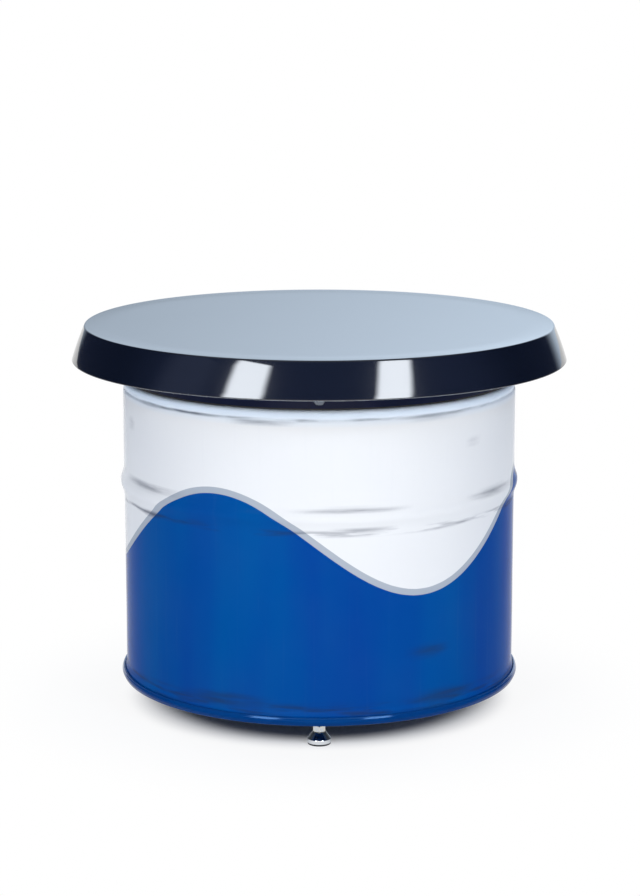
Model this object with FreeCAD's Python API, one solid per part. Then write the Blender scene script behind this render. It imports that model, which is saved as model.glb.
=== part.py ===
import FreeCAD
import Part
import math
import os

# A side table made from half of a steel drum, with a lift-off gloss top and four screw feet.
# Millimetres, +Z up, front towards -Y, origin on the floor under the middle of the drum.

# Drum
drum_inside_diameter = 571.5
drum_height = 445.0
sheet = 1.0
hoop_height = 294.0
hoop_proud = 4.9
hoop_width = 48.0
hoop_crown_radius = 18.0
curl_diameter = 11.0
crease_gap = 1.5
crease_depth = 1.6
crease_width = 11.0
crease_root_radius = 3.0

# Rolled seam between shell and bottom head
chime_height = 12.5
chime_flare = 2.1
flare_gap = 1.5
flare_length = 7.0
flare_radius = 18.0
seam_gap = 0.15
hook_play = 0.3
cover_hook_lift = 1.0
head_recess = 18.0
head_edge_inset = 4.0
chuck_rise = 8.0
chuck_radius = 3.0
head_bend_radius = 5.0

# Top
rim_to_top = 78.0
top_overhang = 54.75
top_edge_radius = 3.2
skirt_drop = 52.0
skirt_flare = 18.5
skirt_bow = 1.8
shell_thickness = 5.0
board_edge_gap = 16.5
board_thickness = 18.0
board_chamfer = 2.0

# Collar and crossed bars that carry the top
collar_thickness = 3.0
collar_top_gap = 9.0
weld_seam_offset = 13.0
weld_seam_width = 0.9
weld_seam_depth = 0.8
strip_thickness = 2.0
strip_overhang = 0.5
seat_gap = 0.3
bar_width = 40.0
bar_thickness = 6.0
bar_bend_radius = 6.0
lap_clearance = 0.2
mouth_clearance = 0.8
tab_reach = 38.0

# Collar bolts, M10
bolt_height_above_rim = 16.5
bolt_diameter = 10.0
bolt_across_flats = 17.0
bolt_head_height = 6.4
bolt_hole_clearance = 0.5
bolt_end_past_nut = 3.0
nut_height = 8.0
washer_diameter = 20.0
washer_thickness = 2.0
spacer_diameter = 18.0

# Board screws
screw_diameter = 4.5
screw_head_diameter = 9.0
screw_head_height = 3.0
screw_head_rounding = 2.1
screw_bite = 12.0
screw_tip = 3.0
screw_hole_clearance = 0.3
inner_screw_radius = 90.0
outer_screw_inset = 74.0

# Feet
floor_clearance = 35.0
foot_inset = 29.75
foot_travel = 15.0
pad_radius = 16.4
pad_height = 2.8
pad_chamfer = 0.8
plug_height = 4.7
plug_clearance = 0.3
boss_radius = 8.0
bell_radius = 17.0
bell_rim_height = 5.4
bell_height = 15.2
bell_top_radius = 9.2
bell_sheet = 1.4
bell_shoulder_radius = 1.6
bell_top_edge_radius = 1.5
turning_gap = 0.3
stud_diameter = 10.0
stud_flange_radius = 7.4
stud_flange_height = 3.6
stud_spare = 1.5
stud_chamfer = 1.0
foot_nut_across_flats = 17.0
foot_nut_height = 9.0
hex_chamfer_circle = 0.95
hex_chamfer_angle = 30.0
thread_clearance = 0.06
weld_nut_height = 15.0
weld_nut_radius = 9.5
weld_flange_radius = 14.0
weld_flange_thickness = 3.0
head_hole_clearance = 0.6

# Places worked out from the driving sizes
rim_z = floor_clearance + drum_height
wall_radius = drum_inside_diameter / 2 + sheet / 2
wall_outer_radius = wall_radius + sheet / 2
curl_radius = (curl_diameter - sheet) / 2
crown_radius = wall_radius - curl_radius
mouth_radius = crown_radius - curl_diameter / 2
crease_z = rim_z - sheet / 2 - curl_radius - crease_gap - crease_width / 2
layer = sheet + seam_gap
chime_wall_radius = wall_radius + chime_flare
fold_z = floor_clearance + sheet / 2 + 2 * layer
seam_turn_z = floor_clearance + chime_height - sheet / 2 - layer
top_height = rim_z + rim_to_top
top_radius = wall_outer_radius + top_overhang
board_radius = top_radius - shell_thickness - board_edge_gap
foot_circle_radius = wall_outer_radius - foot_inset
head_z = floor_clearance + head_recess
head_top_z = head_z + sheet / 2
board_top_z = top_height - shell_thickness
board_bottom_z = board_top_z - board_thickness
bar_bottom_z = board_bottom_z - bar_thickness
tab_face_radius = math.sqrt((mouth_radius - mouth_clearance) ** 2 - (bar_width / 2) ** 2)
tab_inner_radius = tab_face_radius - bar_thickness
screw_places = (inner_screw_radius, tab_face_radius - outer_screw_inset)
collar_outer_radius = crown_radius + collar_thickness / 2
collar_inner_radius = crown_radius - collar_thickness / 2
collar_bottom_z = rim_z + seat_gap + strip_thickness
collar_top_z = bar_bottom_z - collar_top_gap
bolt_z = rim_z + bolt_height_above_rim
bolt_hole_radius = bolt_diameter / 2 + bolt_hole_clearance
bell_top_z = pad_height + bell_height
foot_nut_z = bell_top_z + turning_gap
stud_top_z = head_top_z + weld_nut_height + foot_travel + stud_spare
weld_bore_radius = stud_diameter / 2 + thread_clearance

UP = FreeCAD.Vector(0, 0, 1)
ORIGIN = FreeCAD.Vector(0, 0, 0)
SIDES = {"front": -90.0, "right": 0.0, "back": 90.0, "left": 180.0}


def point(corner):
    """A profile corner (radius, height, rounding) as a point of the XZ plane."""
    return FreeCAD.Vector(corner[0], 0, corner[1])


def heading(start, end):
    """Unit vector from one profile corner to the next."""
    direction = point(end) - point(start)
    return direction.normalize()


def parallel(path, shift):
    """The same path moved to its left by shift, with its roundings grown or shrunk to suit."""
    moved = []
    for i, corner in enumerate(path):
        before = heading(path[max(i - 1, 0)], path[max(i, 1)])
        after = heading(path[min(i, len(path) - 2)], path[min(i + 1, len(path) - 1)])
        turn = before.x * after.z - before.z * after.x
        spread = 1 + before.dot(after)
        across_x = -(before.z + after.z) * shift / spread
        across_z = (before.x + after.x) * shift / spread
        rounding = max(corner[2] - math.copysign(1, turn) * shift, 0) if corner[2] > 0 else 0
        moved.append((corner[0] + across_x, corner[1] + across_z, rounding))
    return moved


def path_edges(path):
    """Straight edges between the corners of a path, joined by tangent arcs."""
    edges = []
    last = point(path[0])
    for i in range(1, len(path) - 1):
        before = heading(path[i - 1], path[i])
        after = heading(path[i], path[i + 1])
        corner = point(path[i])
        half_turn = before.getAngle(after) / 2
        reach = path[i][2] * math.tan(half_turn)
        start = corner - before * reach
        end = corner + after * reach
        if (start - last).Length > 1e-6:
            edges.append(Part.makeLine(last, start))
        if reach > 1e-6:
            inward = (after - before).normalize()
            middle = corner + inward * (path[i][2] / math.cos(half_turn) - path[i][2])
            edges.append(Part.Arc(start, middle, end).toShape())
        last = end
    finish = point(path[-1])
    if (finish - last).Length > 1e-6:
        edges.append(Part.makeLine(last, finish))
    return edges


def sheet_face(path, left, right, round_end=False):
    """The cross-section of a sheet that follows a path, with its thickness split left and right."""
    left_path = parallel(path, left)
    right_path = parallel(path, -right)
    edges = path_edges(left_path) + path_edges(right_path)
    edges.append(Part.makeLine(point(left_path[0]), point(right_path[0])))
    if round_end:
        tip = (point(left_path[-1]) + point(right_path[-1])) / 2
        tip += heading(path[-2], path[-1]) * (left + right) / 2
        edges.append(Part.Arc(point(left_path[-1]), tip, point(right_path[-1])).toShape())
    else:
        edges.append(Part.makeLine(point(left_path[-1]), point(right_path[-1])))
    return Part.Face(Part.Wire(Part.__sortEdges__(edges)))


def turned(path):
    """A closed outline of corners, turned full circle about the Z axis."""
    edges = path_edges(path)
    edges.append(Part.makeLine(point(path[-1]), point(path[0])))
    return Part.Face(Part.Wire(Part.__sortEdges__(edges))).revolve(ORIGIN, UP, 360)


def tube(outer_radius, inner_radius, height, bottom):
    """An upright ring."""
    base = FreeCAD.Vector(0, 0, bottom)
    return Part.makeCylinder(outer_radius, height, base).cut(Part.makeCylinder(inner_radius, height, base))


def hexagon(across_flats, height, both_ends):
    """An upright hexagon bar on the origin, a corner towards +X, chamfered at the top or at both ends."""
    corner_radius = across_flats / math.sqrt(3)
    corners = [FreeCAD.Vector(corner_radius, 0, 0)]
    for i in range(1, 7):
        angle = math.radians(60 * i)
        corners.append(FreeCAD.Vector(corner_radius * math.cos(angle), corner_radius * math.sin(angle), 0))
    bar = Part.Face(Part.makePolygon(corners)).extrude(UP * height)
    flat_radius = across_flats / 2 * hex_chamfer_circle
    rise = (corner_radius - flat_radius) * math.tan(math.radians(hex_chamfer_angle))
    top_end = [(corner_radius, height - rise, 0), (flat_radius, height, 0), (0, height, 0)]
    bottom_end = [(0, 0, 0), (corner_radius, 0, 0)]
    if both_ends:
        bottom_end = [(0, 0, 0), (flat_radius, 0, 0), (corner_radius, rise, 0)]
    return bar.common(turned(bottom_end + top_end))


def bead(radius, middle, proud, width, crown_radius):
    """Corners of a rolled bead on an upright wall: a rounded crown eased into the wall on both sides."""
    slope = 2 * math.atan(2 * abs(proud) / width)
    ease_radius = width / 2 / math.sin(slope) - crown_radius
    half = width / 2 - ease_radius * math.tan(slope / 2)
    apex = proud + math.copysign(crown_radius * (1 / math.cos(slope) - 1), proud)
    return [(radius, middle - half, ease_radius), (radius + apex, middle, crown_radius),
            (radius, middle + half, ease_radius)]


def outwards(shape, height):
    """Turns an upright shape on the origin to point along +X, at a height."""
    shape.rotate(ORIGIN, FreeCAD.Vector(0, 1, 0), 90)
    shape.translate(UP * height)
    return shape


def at_each_side(shape):
    """Copies of a shape made on the +X side, one for each side of the table, as separate solids."""
    copies = []
    for angle in SIDES.values():
        copy = shape.copy()
        copy.rotate(ORIGIN, UP, angle)
        copies.append(copy)
    return Part.makeCompound(copies)


def drum_shell():
    hook_radius = chime_wall_radius + 2 * layer
    fold_bottom = fold_z - layer
    flare_z = floor_clearance + chime_height + flare_gap
    path = [(hook_radius, seam_turn_z - hook_play, 0), (hook_radius, fold_bottom, layer),
            (chime_wall_radius, fold_bottom, layer), (chime_wall_radius, flare_z, flare_radius),
            (wall_radius, flare_z + flare_length, flare_radius)]
    path += bead(wall_radius, floor_clearance + hoop_height, hoop_proud, hoop_width, hoop_crown_radius)
    path += bead(wall_radius, crease_z, -crease_depth, crease_width, crease_root_radius)
    curl_top = rim_z - sheet / 2
    curl_inner = wall_radius - 2 * curl_radius
    curl_bottom = curl_top - 2 * curl_radius
    path += [(wall_radius, curl_top, curl_radius), (curl_inner, curl_top, curl_radius),
             (curl_inner, curl_bottom, curl_radius), (crown_radius, curl_bottom, 0)]
    return sheet_face(path, sheet / 2, sheet / 2).revolve(ORIGIN, UP, 360)


def bottom_head():
    cover_radius = chime_wall_radius + layer
    outer_radius = chime_wall_radius + 3 * layer
    chuck_wall_radius = chime_wall_radius - layer
    seam_top = seam_turn_z + layer
    seam_bottom = fold_z - 2 * layer
    path = [(cover_radius, fold_z + cover_hook_lift, 0), (cover_radius, seam_top, layer),
            (outer_radius, seam_top, layer), (outer_radius, seam_bottom, 2 * layer),
            (chuck_wall_radius, seam_bottom, 2 * layer),
            (chuck_wall_radius, floor_clearance + chuck_rise, chuck_radius),
            (wall_radius - head_edge_inset, head_z, head_bend_radius), (0, head_z, 0)]
    head = sheet_face(path, sheet / 2, sheet / 2).revolve(ORIGIN, UP, 360)
    hole_radius = stud_diameter / 2 + head_hole_clearance
    place = FreeCAD.Vector(foot_circle_radius, 0, head_z - sheet)
    return head.cut(at_each_side(Part.makeCylinder(hole_radius, 2 * sheet, place)))


def foot_weld_nuts():
    nut = turned([(weld_bore_radius, 0, 0), (weld_flange_radius, 0, 0),
                  (weld_flange_radius, weld_flange_thickness, 0), (weld_nut_radius, weld_flange_thickness, 0),
                  (weld_nut_radius, weld_nut_height, 0), (weld_bore_radius, weld_nut_height, 0)])
    nut.translate(FreeCAD.Vector(foot_circle_radius, 0, head_top_z))
    return at_each_side(nut)


def tabletop_shell():
    skirt_z = top_height - skirt_drop
    bow = (top_radius + skirt_flare / 2 + skirt_bow, top_height - skirt_drop / 2, 0)
    edge = (top_radius, top_height, top_edge_radius)
    end = (top_radius + skirt_flare, skirt_z + shell_thickness / 2, 0)
    half_turn = heading(edge, bow).getAngle(heading(bow, end)) / 2
    shorter = min((point(bow) - point(edge)).Length, (point(end) - point(bow)).Length)
    bow_radius = (shorter - 2 * top_edge_radius) / math.tan(half_turn)
    path = [(0, top_height, 0), edge, (bow[0], bow[1], bow_radius), end]
    return sheet_face(path, 0, shell_thickness, round_end=True).revolve(ORIGIN, UP, 360)


def core_board():
    edge_bottom = board_bottom_z + board_chamfer
    edge_top = board_top_z - board_chamfer
    inset_radius = board_radius - board_chamfer
    board = turned([(0, board_bottom_z, 0), (inset_radius, board_bottom_z, 0), (board_radius, edge_bottom, 0),
                    (board_radius, edge_top, 0), (inset_radius, board_top_z, 0), (0, board_top_z, 0)])
    for place in screw_places:
        pilot = board_screw(place)
        board = board.cut(at_each_side(pilot))
    return board


def flat_bar():
    """One bar of the cross along X, with both ends bent down as tabs into the drum's mouth."""
    tab_end = rim_z - tab_reach
    bend = bar_bend_radius + bar_thickness
    path = [(-tab_face_radius, tab_end, 0), (-tab_face_radius, board_bottom_z, bend),
            (tab_face_radius, board_bottom_z, bend), (tab_face_radius, tab_end, 0)]
    bar = sheet_face(path, 0, bar_thickness).extrude(FreeCAD.Vector(0, bar_width, 0))
    bar.translate(FreeCAD.Vector(0, -bar_width / 2, 0))
    for angle in (0, 180):
        hole = outwards(Part.makeCylinder(bolt_hole_radius, crown_radius), bolt_z)
        hole.rotate(ORIGIN, UP, angle)
        bar = bar.cut(hole)
        for place in screw_places:
            hole_radius = screw_diameter / 2 + screw_hole_clearance
            spot = FreeCAD.Vector(place, 0, bar_bottom_z)
            screw_hole = Part.makeCylinder(hole_radius, bar_thickness, spot)
            screw_hole.rotate(ORIGIN, UP, angle)
            bar = bar.cut(screw_hole)
    return bar


def crossed_bars():
    """The two bars, let into each other where they cross so that both lie flat under the board."""
    notch = bar_width + 2 * lap_clearance
    half = bar_thickness / 2
    corner = FreeCAD.Vector(-notch / 2, -bar_width / 2, bar_bottom_z)
    front_bar = flat_bar().cut(Part.makeBox(notch, bar_width, half, corner))
    side_bar = flat_bar().cut(Part.makeBox(notch, bar_width, half, corner + UP * half))
    front_bar.rotate(ORIGIN, UP, 90)
    return {"cross_bar_side_to_side": side_bar, "cross_bar_front_to_back": front_bar}


def collar_ring():
    ring = tube(collar_outer_radius, collar_inner_radius, collar_top_z - collar_bottom_z, collar_bottom_z)
    hole = outwards(Part.makeCylinder(bolt_hole_radius, 2 * collar_thickness), bolt_z)
    hole.translate(FreeCAD.Vector(crown_radius - collar_thickness, 0, 0))
    ring = ring.cut(at_each_side(hole))
    groove = Part.makeBox(collar_thickness, weld_seam_width, collar_top_z - collar_bottom_z)
    groove_radius = collar_outer_radius - weld_seam_depth
    groove.translate(FreeCAD.Vector(groove_radius, -weld_seam_width / 2, collar_bottom_z))
    turn = math.degrees(weld_seam_offset / collar_outer_radius)
    groove.rotate(ORIGIN, UP, SIDES["front"] - turn)
    return ring.cut(groove)


def collar_edge_strip():
    outer = collar_outer_radius + strip_overhang
    inner = collar_inner_radius - strip_overhang
    return tube(outer, inner, strip_thickness, collar_bottom_z - strip_thickness)


def collar_spacers():
    length = collar_outer_radius - tab_face_radius
    spacer = outwards(tube(spacer_diameter / 2, bolt_hole_radius, length, 0), bolt_z)
    spacer.translate(FreeCAD.Vector(tab_face_radius, 0, 0))
    base = FreeCAD.Vector(0, 0, bolt_z - spacer_diameter)
    return at_each_side(spacer.common(Part.makeCylinder(collar_inner_radius, 2 * spacer_diameter, base)))


def collar_bolts():
    washer_face = tab_inner_radius - washer_thickness
    shank_length = collar_outer_radius - washer_face + nut_height + bolt_end_past_nut
    head = hexagon(bolt_across_flats, bolt_head_height, both_ends=False)
    shank = Part.makeCylinder(bolt_diameter / 2, shank_length, FreeCAD.Vector(0, 0, -shank_length))
    bolt = outwards(head.fuse(shank).removeSplitter(), bolt_z)
    bolt.rotate(FreeCAD.Vector(0, 0, bolt_z), FreeCAD.Vector(1, 0, 0), 90)
    bolt.translate(FreeCAD.Vector(collar_outer_radius, 0, 0))
    return at_each_side(bolt)


def collar_washers():
    washer = tube(washer_diameter / 2, bolt_hole_radius, washer_thickness, 0)
    washer = outwards(washer, bolt_z)
    washer.translate(FreeCAD.Vector(tab_inner_radius - washer_thickness, 0, 0))
    return at_each_side(washer)


def collar_nuts():
    nut = hexagon(bolt_across_flats, nut_height, both_ends=True)
    nut = nut.cut(Part.makeCylinder(bolt_diameter / 2, nut_height))
    nut = outwards(nut, bolt_z)
    nut.rotate(FreeCAD.Vector(0, 0, bolt_z), FreeCAD.Vector(1, 0, 0), 90)
    nut.translate(FreeCAD.Vector(tab_inner_radius - washer_thickness - nut_height, 0, 0))
    return at_each_side(nut)


def board_screw(place):
    """A round-headed wood screw under a bar, its point up in the board."""
    head_radius = screw_head_diameter / 2
    shank_radius = screw_diameter / 2
    head_bottom = bar_bottom_z - screw_head_height
    shank_top = board_bottom_z + screw_bite
    screw = turned([(0, head_bottom, 0), (head_radius, head_bottom, screw_head_rounding),
                    (head_radius, bar_bottom_z, 0), (shank_radius, bar_bottom_z, 0),
                    (shank_radius, shank_top - screw_tip, 0), (0, shank_top, 0)])
    screw.translate(FreeCAD.Vector(place, 0, 0))
    return screw


def board_screws():
    return Part.makeCompound([at_each_side(board_screw(place)) for place in screw_places])


def foot_pieces():
    """One foot under the +X side of the drum: pad, bell, stud and hexagon nut."""
    inner_bell = bell_radius - bell_sheet
    plug_radius = inner_bell - plug_clearance
    flange_top = bell_top_z - bell_sheet - turning_gap
    flange_bottom = flange_top - stud_flange_height
    boss_top = flange_bottom - turning_gap
    stud_radius = stud_diameter / 2
    plug_top = pad_height + plug_height
    pad = turned([(0, 0, 0), (pad_radius - pad_chamfer, 0, 0), (pad_radius, pad_chamfer, 0),
                  (pad_radius, pad_height, 0), (plug_radius, pad_height, 0), (plug_radius, plug_top, 0),
                  (boss_radius, plug_top, 0), (boss_radius, boss_top, 0), (0, boss_top, 0)])
    rim_top = pad_height + bell_rim_height
    bell_path = [(bell_radius, pad_height, 0), (bell_radius, rim_top, bell_shoulder_radius),
                 (bell_top_radius, bell_top_z, bell_top_edge_radius),
                 (stud_radius + turning_gap, bell_top_z, 0)]
    bell = sheet_face(bell_path, bell_sheet, 0).revolve(ORIGIN, UP, 360)
    stud = turned([(0, flange_bottom, 0), (stud_flange_radius, flange_bottom, 0),
                   (stud_flange_radius, flange_top, 0), (stud_radius, flange_top, 0),
                   (stud_radius, stud_top_z - stud_chamfer, 0),
                   (stud_radius - stud_chamfer, stud_top_z, 0), (0, stud_top_z, 0)])
    nut = hexagon(foot_nut_across_flats, foot_nut_height, both_ends=True)
    nut = nut.cut(Part.makeCylinder(stud_radius, foot_nut_height))
    nut.translate(UP * foot_nut_z)
    pieces = {"pad": pad, "bell": bell, "stud": stud, "nut": nut}
    for piece in pieces.values():
        piece.translate(FreeCAD.Vector(foot_circle_radius, 0, 0))
    return pieces


def table_nodes():
    nodes = {"drum_shell": drum_shell(), "bottom_head": bottom_head(), "foot_weld_nuts": foot_weld_nuts(),
             "tabletop_shell": tabletop_shell(), "core_board": core_board(), "collar_ring": collar_ring(),
             "collar_edge_strip": collar_edge_strip(), "collar_spacers": collar_spacers(),
             "collar_bolts": collar_bolts(), "collar_washers": collar_washers(), "collar_nuts": collar_nuts(),
             "board_screws": board_screws()}
    nodes.update(crossed_bars())
    foot = foot_pieces()
    for side, angle in SIDES.items():
        for name, piece in foot.items():
            copy = piece.copy()
            copy.rotate(ORIGIN, UP, angle)
            nodes["foot_" + side + "_" + name] = copy
    return nodes


os.makedirs("parts", exist_ok=True)
for name, shape in table_nodes().items():
    shape.exportStep("parts/" + name + ".step")
    print(name, len(shape.Solids), shape.isValid(), round(shape.Volume / 1000, 2), "cm3")
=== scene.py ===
import math

import bmesh
import bpy
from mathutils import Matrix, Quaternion, Vector, noise


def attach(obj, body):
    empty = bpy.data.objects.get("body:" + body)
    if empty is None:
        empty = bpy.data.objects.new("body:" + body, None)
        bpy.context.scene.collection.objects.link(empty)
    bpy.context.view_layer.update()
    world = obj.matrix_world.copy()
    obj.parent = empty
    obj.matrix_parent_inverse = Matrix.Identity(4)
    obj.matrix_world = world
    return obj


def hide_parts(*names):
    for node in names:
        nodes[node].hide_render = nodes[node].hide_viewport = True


# A side table made from half of a steel drum, with a lift-off gloss top and four screw feet.
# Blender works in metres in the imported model's frame: +Z up, front towards -Y. Sizes here are in millimetres.

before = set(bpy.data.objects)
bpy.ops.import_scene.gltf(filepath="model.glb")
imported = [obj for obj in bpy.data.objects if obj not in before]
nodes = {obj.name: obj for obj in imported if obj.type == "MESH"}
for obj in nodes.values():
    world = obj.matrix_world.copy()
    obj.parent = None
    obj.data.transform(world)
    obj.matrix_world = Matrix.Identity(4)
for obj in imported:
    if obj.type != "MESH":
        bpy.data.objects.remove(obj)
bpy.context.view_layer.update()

MM = 0.001
WELD = 0.001 * MM
SIDES = {"front": (0, -1), "right": (1, 0), "back": (0, 1), "left": (-1, 0)}

# Drum shell, along the middle of its sheet
SHEET = 1.0
WALL_RADIUS = 286.25
CHIME_RADIUS = 288.35
SHELL_FOOT_Z = 38.0
FLARE_Z = 49.0
FLARE_LENGTH = 7.0
FLARE_ROUNDING = 18.0
HOOP_Z = 329.0
HOOP_PROUD = 4.9
HOOP_WIDTH = 48.0
HOOP_ROUNDING = 18.0
CREASE_Z = 467.5
CREASE_DEPTH = 1.6
CREASE_WIDTH = 11.0
CREASE_ROUNDING = 3.0
RIM_Z = 479.5
CURL_RADIUS = 5.0
WALL_STEP = 6.0

# Bottom head, and the outer face of its seam; the bead covers that face and bulges from it
HEAD_TOP_Z = 53.5
SEAM_RADIUS = 292.3
SEAM_TOP_Z = 47.5
SEAM_TOP_ROUNDING = 1.65
SEAM_BOTTOM_Z = 35.0
SEAM_BOTTOM_ROUNDING = 2.8
SEAM_COVER = 0.05
SEAM_BULGE = 1.5
SEAM_STEP = 0.8

# Body weld down the back of the drum: its height, its bearing from the front, half its crown and half its width
BODY_WELD = 0.4
BODY_WELD_BEARING = math.pi
BODY_WELD_CROWN = 0.5
BODY_WELD_EDGE = 3.0

# Uneven rolling, in long soft waves and shorter ripples: their spacing and their height
ROLLING = ((150.0, 0.45), (48.0, 0.14))
EVEN_BELOW_Z = 62.0
EVEN_ABOVE_Z = 470.0
EVEN_FADE = 40.0

# Knocks: bearing from the front in degrees, height, depth, half length, half height
KNOCKS = ((-56, 466, 1.5, 48, 4), (-16, 463, 1.0, 56, 3.5), (34, 465, 1.5, 70, 4), (98, 465, 1.3, 54, 4),
          (151, 464, 1.5, 64, 4), (-122, 465, 1.4, 70, 4), (-165, 464, 0.9, 44, 3.5),
          (-70, 427, 1.3, 20, 10), (49, 419, 1.0, 18, 9), (133, 428, 1.2, 22, 10),
          (-58, 346, 1.5, 92, 7), (-37, 311, 1.2, 34, 5), (59, 339, 1.3, 74, 7), (9, 341, 0.7, 95, 4),
          (12, 312, 0.6, 60, 4), (140, 343, 1.4, 90, 7), (-138, 314, 1.2, 70, 5), (178, 347, 1.0, 60, 6),
          (32, 131, 1.2, 44, 12), (-101, 176, 1.4, 38, 14), (115, 219, 1.1, 30, 12), (-150, 96, 1.3, 46, 12),
          (-27, 63, 0.9, 90, 14), (37, 62, 0.9, 84, 12), (95, 59, 0.8, 60, 7), (-110, 60, 0.8, 50, 7),
          (160, 60, 0.9, 60, 7))

# A knock this long or longer takes its full share of painted shade, which thins out towards the knock's edge
FULL_SHADE_LENGTH = 60.0
SHADE_FALL = 1.5

# Top, along its outer face
TOP_Z = 558.0
TOP_RADIUS = 341.5
TOP_EDGE_ROUNDING = 3.2
BOW_RADIUS = 352.55
BOW_Z = 532.0
BOW_ROUNDING = 384.0
SKIRT_RADIUS = 360.36
SKIRT_Z = 507.3
TOP_SHELL = 5.0
LIP_ROUNDING = 1.0
LEAST_INNER_ROUNDING = 2.0
DISC_STEP = 40.0

# Core board
BOARD_RADIUS = 320.0
BOARD_TOP_Z = 553.0
BOARD_BOTTOM_Z = 535.0
BOARD_EDGE_ROUNDING = 1.5
PLY = 1.385
FILM = 0.6

# Threaded studs of the feet
FOOT_CIRCLE = 257.0
STUD_RADIUS = 5.0
STUD_TOP_Z = 85.0
STUD_CHAMFER = 1.0
THREAD_PITCH = 1.5
THREAD_DEPTH = 0.8
THREAD_STEPS = 20
THREAD_WELD = 10 * WELD
SPARE_TURNS = 2
FLANGE_RADIUS = 7.4
FLANGE_BOTTOM_Z = 12.7
FLANGE_TOP_Z = 16.3
FLANGE_ROUNDING = 0.4
FLANGE_STEPS = 48

# One tooth of the thread: share of its depth and share of its pitch
THREAD_TOOTH = ((0, 0), (0, 0.125), (1, 0.5), (1, 0.625), (0, 1))

# Paint line round the drum
WAVE_COUNT = 3
WAVE_HEIGHT = 72.0
WAVE_MIDDLE_Z = 285.0
STRIPE_WIDTH = 9.0
TAPE_WOBBLE = 0.5
PAINT_EDGE = 0.4

# Where the painted cool light on the white begins, below the crease, and where chips show each side of the hoop's
# middle
COOL_LIGHT_Z = CREASE_Z - 12
CHIPPED_CROWN = 6.0

# Heights on the wall where painted shade lies, with its reach: in the crease, under the hoop and above the chime
SHADE_LINES = ((CREASE_Z - 1.5, 3.5), (HOOP_Z - 21, 7.0), (FLARE_Z + 6, 16.0))

# Overspray under the head, blue over near-black primer that is painted shade for the shade under the drum: the radii
# where blue begins and is full, and how far its edge wanders. The seam is glossy above the first height and fades to
# dull at the second.
SPRAY_START = 275.0
SPRAY_FULL = 291.0
SPRAY_WANDER = 20.0
GLOSSY_ABOVE_Z = 45.0
DULL_BELOW_Z = 43.0

# Steps of a full turn, the widest step of a rounded corner and the fewest steps in one
TURN_STEPS = 240
ARC_STEP = math.radians(9)
ARC_LEAST_STEPS = 4

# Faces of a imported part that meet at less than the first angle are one, and edges over the second are eased
FLAT_ANGLE = math.radians(0.5)
SHARP_ANGLE = math.radians(35)

# Studio, in metres: the floor, and the lamps' distance from the front of the skirt, which they face
FLOOR_HALF = 12.0
LAMP_DISTANCE = 2.35
LAMP_AIM = Vector((0, -0.34, 0.53))
OVERHEAD_Z = 3.0
OVERHEAD_SIZE = 4.0
OVERHEAD_LEVEL = 0.4

# The floor turns plain white away from the table: distances where it begins and ends, and its share of the white
FLOOR_WHITE = ((0.213, 0.297, 0.9), (0.28, 0.55, 0.1))


# Shapes

def heading(start, end):
    """Direction from one profile corner to the next."""
    return Vector((end[0] - start[0], 0, end[1] - start[1])).normalized()


def bead(middle, proud, width, rounding):
    """Corners of a rolled bead on the drum's wall: a rounded crown eased into the wall on both sides."""
    slope = 2 * math.atan(2 * abs(proud) / width)
    ease = width / 2 / math.sin(slope) - rounding
    half = width / 2 - ease * math.tan(slope / 2)
    apex = proud + math.copysign(rounding * (1 / math.cos(slope) - 1), proud)
    return [(WALL_RADIUS, middle - half, ease), (WALL_RADIUS + apex, middle, rounding),
            (WALL_RADIUS, middle + half, ease)]


def set_in(corners, depth):
    """Corners of a profile's inner face, a wall's thickness inside its outer face, from the lip back to the middle."""
    inner = [(corners[0][0], corners[0][1] - depth, 0)]
    for i in range(1, len(corners) - 1):
        before = heading(corners[i - 1], corners[i])
        after = heading(corners[i], corners[i + 1])
        shift = (after - before).normalized() * depth / math.cos(before.angle(after) / 2)
        rounding = max(LEAST_INNER_ROUNDING, corners[i][2] - depth)
        inner.append((corners[i][0] + shift.x, corners[i][1] + shift.z, rounding))
    along = heading(corners[-2], corners[-1])
    inner.append((corners[-1][0] + along.z * depth, corners[-1][1] - along.x * depth, corners[-1][2]))
    return inner[::-1]


def wire(corners):
    """A profile in the XZ plane through corners (radius, height, rounding), its rounded corners spun."""
    mesh = bmesh.new()
    last = None
    for i, (radius, height, rounding) in enumerate(corners):
        line_shade = Vector((radius, 0, height)) * MM
        if rounding:
            before = heading(corners[i - 1], corners[i])
            after = heading(corners[i], corners[i + 1])
            turn = before.angle(after)
            start = mesh.verts.new(line_shade - before * rounding * MM * math.tan(turn / 2))
            centre = line_shade + (after - before).normalized() * rounding * MM / math.cos(turn / 2)
            steps = max(ARC_LEAST_STEPS, math.ceil(turn / ARC_STEP))
            spun = bmesh.ops.spin(mesh, geom=[start], cent=centre, axis=before.cross(after).normalized(),
                                  dvec=(0, 0, 0), angle=turn, steps=steps, use_merge=False)
            end = spun["geom_last"][0]
        else:
            start = mesh.verts.new(line_shade)
            end = start
        if last:
            mesh.edges.new((last, start))
        last = end
    bmesh.ops.remove_doubles(mesh, verts=mesh.verts, dist=WELD)
    return mesh


def divided(mesh, longest):
    """Cuts the long straight runs of a profile into shorter ones."""
    for edge in mesh.edges[:]:
        cuts = int(edge.calc_length() / MM / longest)
        if cuts:
            bmesh.ops.subdivide_edges(mesh, edges=[edge], cuts=cuts)
    return mesh


def turned(mesh, steps=TURN_STEPS):
    """Turns a profile full circle about the Z axis, with its seam and poles closed and its faces outwards."""
    bmesh.ops.spin(mesh, geom=mesh.verts[:] + mesh.edges[:], cent=(0, 0, 0), axis=(0, 0, 1), dvec=(0, 0, 0),
                   angle=2 * math.pi, steps=steps, use_merge=True)
    bmesh.ops.remove_doubles(mesh, verts=mesh.verts, dist=WELD)
    bmesh.ops.recalc_face_normals(mesh, faces=mesh.faces)
    return mesh


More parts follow.
